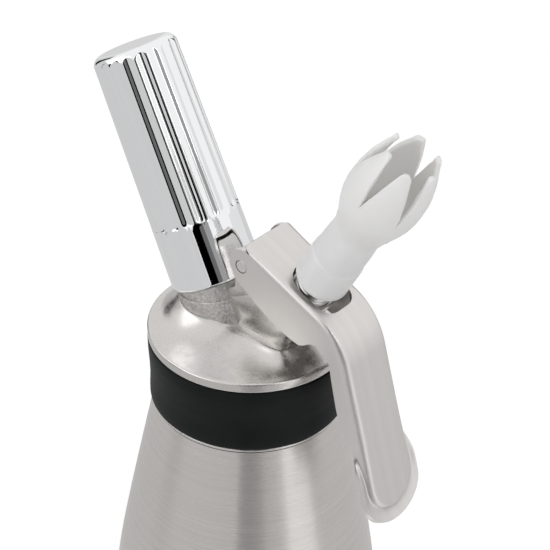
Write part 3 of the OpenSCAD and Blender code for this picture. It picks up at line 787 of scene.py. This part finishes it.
class MakeLever(bpy.types.Operator):
    """Stamped lever, drawn along its own bent face: s runs down the face, d is the depth under it"""

    bl_idname = "dispenser.make_lever"
    bl_label = "Lever"

    plate_tilt, handle_tilt, plate_high, bend_r = 22.8, 17.1, 7.3, 21.7
    bend_start, half = 27.58, 9.9
    bend_end = bend_start + bend_r * math.radians(90 - plate_tilt - handle_tilt)
    edge = [  # depth of the flanges' lower edge along the face
        (0.8, 13.04), (11.9, 15), (19, 15.5), (24.2, 15), (27.7, 14.3), (31.1, 12.76), (32.8, 10), (36.3, 7.8),
        (40.9, 6.65), (45, 6.2), (50.7, 6.8), (61.1, 7.4), (69.6, 6.9), (78, 6.6), (87.4, 6.0),
    ]
    lip = [  # section of the turned-out lip: distance from the middle and depth
        (8.3, 0.05), (8.8, 0.18), (9.2, 0.4), (9.55, 0.75), (9.8, 1.1), (10, 1.38), (10.22, 1.55),
        (10.5, 1.58), (10.85, 1.48), (11.2, 1.3), (11.5, 1.1), (11.8, 0.9), (12.1, 0.72), (12.4, 0.6),
    ]

    def execute(self, context):
        look = context.scene.dispenser_lever
        place = Matrix.Translation(PIVOT)
        # painted shade: the last argument, 0.004, is the reach in metres within which the lever's crevices and the
        # valley along its lip are darkened
        steel = brushed("lever_steel", look.steel, 0.36, place, (0.03, 0.00022, 0.03), 3e-6, 0.004)
        piece = Piece("lever", "lever_arm", ["lever"], "lever_steel", [steel], 32)
        bm = bmesh.new()
        self.sheet(bm)
        thicken(bm, look.sheet / MM, max, lambda centre: Vector((0, 0, 1)))
        self.openings(bm)
        soften(bm, 0.3, 50)
        piece.add(bm, place)
        piece.finish()
        return {"FINISHED"}

    def on_face(self, s):
        """Point of the face and its outward direction at s, in X and Z from the hinge pin."""
        plate, handle = math.radians(self.plate_tilt), math.radians(self.handle_tilt)
        out = Vector((math.sin(plate), math.cos(plate)))
        along = Vector((math.cos(plate), -math.sin(plate)))
        start = self.plate_high * out + self.bend_start * along
        if s <= self.bend_start:
            return self.plate_high * out + s * along, out
        centre = start - self.bend_r * out
        turned = min((s - self.bend_start) / self.bend_r, math.pi / 2 - handle - plate)
        angle = math.pi / 2 - plate - turned
        out = Vector((math.cos(angle), math.sin(angle)))
        rest = s - self.bend_start - turned * self.bend_r
        return centre + self.bend_r * out + rest * Vector((out.y, -out.x)), out

    def place_point(self, s, y, d):
        """Point in the pin's frame from its place along, across and under the face."""
        at, out = self.on_face(s)
        at = at - d * out
        return (at.x, y, at.y)

    def section(self, s):
        """Points (y, d) across half the sheet at s, from its middle to the flange's edge."""
        fold = mix(1.7, 2.5, ease((s - self.bend_start) / (self.bend_end - self.bend_start)))
        depth = softly(self.edge, s, 1.2)
        lip_start, lip_run = 66, 21
        turned_out = ease((s - lip_start) / lip_run)
        flat = self.half - fold
        deep = [(flat * k / 6, 0) for k in range(7)]
        deep += [
            (flat + fold * math.sin(math.radians(15 * k)), fold * (1 - math.cos(math.radians(15 * k))))
            for k in range(1, 7)
        ]
        deep += [(self.half, mix(fold, depth, k / 8)) for k in range(1, 9)]
        lipped = [(7.7 * k / 6, 0) for k in range(7)] + self.lip
        return [(mix(a, c, turned_out), mix(b, e, turned_out)) for (a, b), (c, e) in zip(deep, lipped)]

    def hinge_edge(self):
        """The sheet's edge at the hinge, as (s, y, d): plate, rounded corner and the flange's round end."""
        back, corner = -2, 0.6
        points = []
        for k, (y, d) in enumerate(self.section(7)[:13]):
            out = (y + d - 6.2) / (self.half - 6.2 + 1.2)
            out = min(max(out, 0), 1)
            points.append((mix(back, corner, 1 - math.sqrt(1 - out * out)), y, d * 0.55 if k > 6 else d))
        middle, reach = (0.6, 6.4), 5.5
        for k in range(1, 8):
            angle = math.radians(90 + 155 * k / 7)
            points.append((middle[0] + reach * math.cos(angle), self.half, middle[1] - reach * math.sin(angle)))
        return points + [(0.8, self.half, 13.04)]

    def sheet(self, bm):
        """The outer face of the whole lever, one half and then the other."""
        hinge, hinge_s, tip_s = self.hinge_edge(), 7.0, 87.41
        straight = [mix(hinge_s, self.bend_start, k / 14) for k in range(1, 15)]
        straight += [mix(self.bend_start, self.bend_end, k / 30) for k in range(1, 31)]
        straight += [mix(self.bend_end, tip_s, k / 40) for k in range(1, 41)]
        hinge_columns, tip_columns = 10, 24
        columns = hinge_columns + len(straight) + tip_columns
        tip = self.section(tip_s)

        long, wide, ahead = 10, 12.4, 4  # the lip's end is half an ellipse, centred ahead of tip_s

        def lip_reach(angle):
            c, s = math.cos(angle), math.sin(angle)
            if s * ahead > wide * c:
                return wide / s
            a, b, e = (c / long) ** 2 + (s / wide) ** 2, -2 * ahead * c / long**2, (ahead / long) ** 2 - 1
            return (-b + math.sqrt(b * b - 4 * a * e)) / (2 * a)

        def point(column, row, side):
            if column <= hinge_columns:
                share = column / hinge_columns
                (s, y, d), (y1, d1) = hinge[row], self.section(hinge_s)[row]
                return self.place_point(mix(s, hinge_s, share), side * mix(y, y1, share), mix(d, d1, share))
            column -= hinge_columns + 1
            if column < len(straight):
                y, d = self.section(straight[column])[row]
                return self.place_point(straight[column], side * y, d)
            turn = math.radians(90 * (1 - (column - len(straight) + 1) / tip_columns))
            y, d = tip[row]
            reach = y + (lip_reach(turn) - wide) * ease((y - self.half) / (wide - self.half))
            return self.place_point(tip_s + reach * math.cos(turn), side * reach * math.sin(turn), d)

        for side in (1, -1):
            mapped(bm, columns, len(hinge) - 1, lambda column, row: point(column, row, side))

    def openings(self, bm):
        """Cuts the slot for the nozzle through the plate, and the pin's holes through the flanges."""
        rear, front, half, corner = 11.8, 30.3, 6.9, 4.5
        back = half - 0.05
        outline = rounded([
            (rear, -half, back), (front, -half, corner), (front, half, corner), (rear, half, back),
        ])
        slot = bmesh.new()
        extruded(slot, [(x, y, 3) for x, y in outline], (0, 0, 10))
        turn = Matrix.Rotation(math.radians(self.plate_tilt), 4, "Y")
        bmesh.ops.transform(slot, matrix=turn, verts=slot.verts)
        cut(bm, slot)
        pin = bmesh.new()
        spun(pin, [(0, -14), (2.12, -14), (2.12, 14), (0, 14)], 48)
        bmesh.ops.transform(pin, matrix=Matrix.Rotation(math.pi / 2, 4, "X"), verts=pin.verts)
        cut(bm, pin)


class MakeHingePin(bpy.types.Operator):
    """Pin through the flanges and the lug, flush with the flanges"""

    bl_idname = "dispenser.make_hinge_pin"
    bl_label = "Hinge pin"

    def execute(self, context):
        place = Matrix.Translation(PIVOT) @ Matrix.Rotation(math.pi / 2, 4, "X")
        steel = brushed("pin_steel", context.scene.dispenser_lever.steel, 0.26, place, (0.004, 0.004, 0.0004), 3e-6)
        piece = Piece("hinge_pin", "head", ["hinge_pin"], "steel", [steel])
        r, half = 1.98, 9.85
        piece.turn(rounded([(0, -half, 0), (r, -half, 0.22), (r, half, 0.22), (0, half, 0)]), place, steps=48)
        piece.finish()
        return {"FINISHED"}


# Springs ------------------------


class MakeSprings(bpy.types.Operator):
    """Valve spring and check spring, each with a closed coil at either end"""

    bl_idname = "dispenser.make_springs"
    bl_label = "Springs"

    def execute(self, context):
        wire = brushed("spring_steel", (0.5, 0.52, 0.56), 0.24, None, (0.0008, 0.0008, 0.0008), 2e-6)
        springs = (  # name, joint on its axis, joint that shortens it, radii of coil and wire, ends, curls
            ("valve_spring", "nozzle_turn", "valve_press", 4.85, 0.55, 15.1, 27.5, 6),
            ("check_spring", "holder_unscrew", "check_open", 2.6, 0.22, 1.6, 5.5, 4),
        )
        per_curl = 24
        for name, joint, press, r, thick, foot, top, curls in springs:
            low, high = foot + thick, top - thick
            path = []
            for k in range(curls * per_curl + 1):
                share = k / (curls * per_curl)
                climb = ease(share * 1.06 - 0.03) * 0.35 + share * 0.65
                angle = 2 * math.pi * curls * share
                path.append(Vector((r * math.cos(angle), r * math.sin(angle), mix(low, high, climb))))
            piece = Piece(name, "head", [name], "spring_steel", [wire])
            bm = bmesh.new()
            tube(bm, path, thick)
            place = axis_place(joint)
            piece.add(bm, place)
            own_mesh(piece.finish())
        return {"FINISHED"}


# Nozzle ------------------------


class MakeNozzle(bpy.types.Operator):
    """White tulip nozzle: socket, waist and petals"""

    bl_idname = "dispenser.make_nozzle"
    bl_label = "Tulip nozzle"

    foot, tall, apex = 37.2, 60.0, 0.72
    shape = [  # share of the length and outer radius
        (0, 8.4), (0.2, 8.05), (0.204, 7.7), (0.33, 7.6), (0.38, 7.32), (0.42, 7.35), (0.475, 8), (0.52, 9),
        (0.57, 10.1), (0.63, 11.1), (0.69, 11.5), (0.78, 11.35), (0.86, 10.6), (0.93, 9.4), (1, 8),
    ]
    gap = [(0.72, 0.1), (0.86, 1.5), (1, 2.5)]

    def execute(self, context):
        look = context.scene.dispenser_nozzle
        place = axis_place("nozzle_turn")
        white = plastic(
            "nozzle_plastic", look.plastic, 0.34,
            Subsurface_Weight=1.0, Subsurface_Scale=0.004, Subsurface_Radius=(1, 1, 0.95),
        )
        piece = Piece("tulip_nozzle", "nozzle", ["tulip_nozzle"], "nozzle_plastic", [white], 40)
        bm = bmesh.new()
        self.skin(bm, look.petals)
        thicken(bm, look.wall / MM, min, lambda centre: centre * Vector((1, 1, 0)))
        soften(bm, 0.38, 50)
        piece.add(bm, place)
        throat = rounded([
            (3.2, self.foot + 8.4, 0.3), (6.2, self.foot + 8.4, 0), (6.1, self.foot + 21, 0),
            (4.7, self.foot + 19.5, 0.5), (3.6, self.foot + 14.4, 0.6),
        ])
        piece.turn(throat, place, steps=72)
        piece.finish()
        return {"FINISHED"}

    def skin(self, bm, petals):
        """Outer face, one grid for each petal with the strip of socket and waist under it."""
        shares = [0, 0.004, 0.012, 0.05, 0.1, 0.15, 0.19, 0.2, 0.204, 0.21, 0.22, 0.26]
        shares += [mix(0.3, self.apex, k / 18) for k in range(19)]
        shares += [mix(self.apex, 1, k / 16) for k in range(1, 17)]
        across, ring_at, ring_high = 14, 0.475, 0.45  # the small scalloped ring round the waist

        def point(column, row, petal):
            side, share = 2 * column / across - 1, shares[row]
            r = softly(self.shape, share, 0.002 if share < 0.3 else 0.02)
            off_ring = share - ring_at - 0.03 * math.cos(3 * math.pi * side / 2)
            r += ring_high * math.exp(-((off_ring / 0.008) ** 2))
            if share < 0.012:
                r -= 0.35 * (1 - share / 0.012) ** 2
            sector = math.pi / petals
            if share > self.apex:
                sector -= math.asin(between(self.gap, share) / r)
                share -= 0.014 * side**4 * ease((share - 0.85) / 0.15)
            middle = math.radians(-93.5) + 2 * math.pi / petals * (petal + 0.5)
            angle = middle + side * sector
            return (r * math.cos(angle), r * math.sin(angle), self.foot + share * self.tall)

        for petal in range(petals):
            mapped(bm, across, len(shares) - 1, lambda column, row: point(column, row, petal))


# Pieces that keep their CAD shape ------------------------


class FinishCadPieces(bpy.types.Operator):
    """Gives every CAD piece that stays its material"""

    bl_idname = "dispenser.finish_cad_pieces"
    bl_label = "Small pieces"

    def execute(self, context):
        holder, valve = axis_place("holder_unscrew"), axis_place("nozzle_turn")
        turned = (0.012, 0.012, 0.00018)
        finishes = {
            "steel": brushed("turned_steel", (0.60, 0.59, 0.58), 0.22, valve, turned, 4e-6),
            "brass": brushed("turned_brass", (0.62, 0.43, 0.17), 0.24, holder, turned, 4e-6),
            "charger_steel": brushed("zinc_steel", (0.55, 0.56, 0.58), 0.33, holder, (0.003, 0.003, 0.003), 6e-6),
            "silicone": rubber(
                "silicone", (0.7, 0.7, 0.67), 0.5,
                Subsurface_Weight=0.15, Subsurface_Scale=0.001, Subsurface_Radius=(1, 1, 1),
            ),
            "seal_rubber": rubber("seal_rubber", (0.012, 0.012, 0.013), 0.5),
            "bush_plastic": plastic("bush_plastic", (0.72, 0.72, 0.69), 0.42),
        }
        kept = {
            "steel": ["nozzle_adapter", "valve_stem", "stem_nut", "seal_washer", "piercing_pin", "check_retainer"],
            "brass": ["piercing_insert"],
            "charger_steel": ["charger_bulb", "charger_cap"],
            "silicone": ["head_gasket"],
            "seal_rubber": ["charger_seal", "check_disc", "valve_oring", "valve_seal"],
            "bush_plastic": ["guide_bush", "hinge_washers"],
        }
        for finish, names in kept.items():
            for name in names:
                mesh = frame["nodes"][name].data
                mesh.materials.clear()
                mesh.materials.append(finishes[finish])
        return {"FINISHED"}


# Stage ------------------------


class MakeStage(bpy.types.Operator):
    """Pale floor, soft studio light, dark cards for the metal to reflect, and the camera"""

    bl_idname = "dispenser.make_stage"
    bl_label = "Stage"

    def execute(self, context):
        look = context.scene.dispenser_stage
        context.scene.view_settings.view_transform = "Standard"
        self.world(context.scene)
        self.floor(look.floor)
        # azimuth from, to, distance from, to, height from, to, level
        for card in (
            ("dark_flag", -59, -41, 0.9, 0.9, 0.0, 1.8, 0.0),
            ("grey_flag", -41, -31, 0.9, 0.9, 0.0, 1.8, 0.15),
            ("pale_flag", -31, -17, 0.9, 0.9, 0.0, 1.8, 0.36),
            ("left_wall", -210, -60, 1.2, 1.2, 0.002, 0.55, 0.66),
            ("left_floor", -210, -60, 0.14, 1.2, 0.002, 0.002, 0.66),
            ("right_wall", 15, 150, 1.2, 1.2, 0.002, 0.4, 0.84),
            ("right_floor", 15, 150, 0.09, 1.2, 0.002, 0.002, 0.68),
            ("low_flag", -58, -34, 0.12, 0.7, 0.003, 0.003, 0.4),
            ("thin_flag", -34, -12, 0.12, 0.7, 0.003, 0.003, 0.62),
            ("far_flag_1", 96, 108, 0.9, 0.9, 0.0, 0.6, 0.02),
            ("far_flag_2", 165, 178, 0.9, 0.9, 0.0, 0.6, 0.02),
            ("far_flag_3", -135, -121, 0.9, 0.9, 0.0, 0.6, 0.02),
        ):
            self.card(*card)
        self.lamp("key", (-0.65, -0.85, 0.75), 1.3, 4.5)
        self.lamp("fill", (0.95, -0.5, 0.9), 0.6, 3.0)
        self.camera(context.scene, look.lens)
        return {"FINISHED"}

    @staticmethod
    def world(scene):
        """White room for the camera and for mirrors and glass, dimmer as a light."""
        world = bpy.data.worlds.new("studio")
        scene.world = world
        world.use_nodes = True
        tree = world.node_tree
        shader = tree.nodes["Background"]
        level = tree.nodes.new("ShaderNodeMapRange")
        level.inputs["To Min"].default_value = 0.62
        level.inputs["To Max"].default_value = 1.0
        tree.links.new(seen_directly(tree), level.inputs["Value"])
        tree.links.new(level.outputs["Result"], shader.inputs["Strength"])
        shader.inputs["Color"].default_value = (1, 1, 1, 1)

    @staticmethod
    def floor(shade):
        """Wide pale floor that keeps the shadow."""
        bm = bmesh.new()
        bmesh.ops.create_grid(bm, x_segments=1, y_segments=1, size=12)
        f = Finish("floor", shade, 0.9)
        grain = f.noise(f.coords(grain=(0.05,) * 3), 2.0)
        f.link(f.shade(grain, tuple(0.985 * c for c in shade), shade), "Base Color")
        f.set("Emission Color", (1, 1, 1, 1))
        f.link(f.span(seen_directly(f.tree), 0.0, 0.42, 0, 1), "Emission Strength")
        shown("floor", bm, f.material)

    @staticmethod
    def card(name, start, end, near, far, low, high, level):
        """Card of an even grey that only reflections see, bent round the bottle between two azimuths."""
        bm = bmesh.new()
        columns = max(1, round((end - start) / 6))

        def point(column, row):
            angle = math.radians(mix(start, end, column / columns))
            reach = (near, far)[row]
            return (reach * math.cos(angle), reach * math.sin(angle), (low, high)[row])

        mapped(bm, columns, 1, point)
        f = Finish(name, (0.0, 0.0, 0.0), 1.0, Specular_IOR_Level=0.0, Emission_Color=(1, 1, 1, 1))
        cloth = f.noise(f.coords(grain=(0.2,) * 3), 2.0)
        f.link(f.span(cloth, 0.98 * level, 1.02 * level), "Emission Strength")
        card = shown(name, bm, f.material)
        card.visible_camera = card.visible_diffuse = card.visible_shadow = card.visible_transmission = False

    @staticmethod
    def lamp(name, place, size, power):
        """Square soft lamp that looks at the head."""
        data = bpy.data.lights.new(name, "AREA")
        data.size, data.energy = size, power
        lamp = bpy.data.objects.new(name, data)
        lamp.location = place
        lamp.rotation_euler = (Vector((0.01, 0, RIM_Z)) - Vector(place)).to_track_quat("-Z", "Y").to_euler()
        bpy.context.scene.collection.objects.link(lamp)

    @staticmethod
    def camera(scene, lens):
        """Camera at the angle and distance that the photographed outlines give."""
        data = bpy.data.cameras.new("camera")
        data.lens, data.sensor_width, data.clip_start = lens, 36, 0.01
        camera = bpy.data.objects.new("camera", data)
        right, up = Vector((0.76747, 0.64108, 0)), Vector((-0.36570, 0.43780, 0.82133))
        back, roll = Vector((0.52654, -0.63036, 0.57044)), math.radians(1.5488)
        across = math.cos(roll) * right + math.sin(roll) * up
        upright = -math.sin(roll) * right + math.cos(roll) * up
        turn = Matrix((across, upright, back)).transposed().to_4x4()
        camera.matrix_world = Matrix.Translation((0.27914, -0.32280, 0.51474)) @ turn
        scene.collection.objects.link(camera)
        scene.camera = camera


# Add-on ------------------------


SETTINGS = {
    "dispenser_bottle": BottleSettings,
    "dispenser_head": HeadSettings,
    "dispenser_holder": HolderSettings,
    "dispenser_lever": LeverSettings,
    "dispenser_nozzle": NozzleSettings,
    "dispenser_stage": StageSettings,
}
OPERATORS = (
    MakeBottle, MakeHead, MakeGripBand, MakeHolder, MakeLever, MakeHingePin, MakeSprings, MakeNozzle,
    FinishCadPieces, MakeStage,
)


class DispenserPanel(bpy.types.Panel):
    """Lists the dispenser's pieces"""

    bl_idname = "VIEW3D_PT_dispenser"
    bl_label = "Whipped cream dispenser"
    bl_space_type = "VIEW_3D"
    bl_region_type = "UI"
    bl_category = "Dispenser"

    def draw(self, context):
        for operator in OPERATORS:
            self.layout.operator(operator.bl_idname)
        for name, group in SETTINGS.items():
            box = self.layout.box()
            for prop in group.__annotations__:
                box.prop(getattr(context.scene, name), prop)


def register():
    for group in SETTINGS.values():
        bpy.utils.register_class(group)
    for name, group in SETTINGS.items():
        setattr(bpy.types.Scene, name, bpy.props.PointerProperty(type=group))
    for operator in OPERATORS:
        bpy.utils.register_class(operator)
    bpy.utils.register_class(DispenserPanel)


def unregister():
    bpy.utils.unregister_class(DispenserPanel)
    for operator in reversed(OPERATORS):
        bpy.utils.unregister_class(operator)
    for name, group in SETTINGS.items():
        delattr(bpy.types.Scene, name)
        bpy.utils.unregister_class(group)


def main():
    register()
    for operator in OPERATORS:
        group, name = operator.bl_idname.split(".")
        getattr(getattr(bpy.ops, group), name)()


if __name__ == "__main__":
    main()
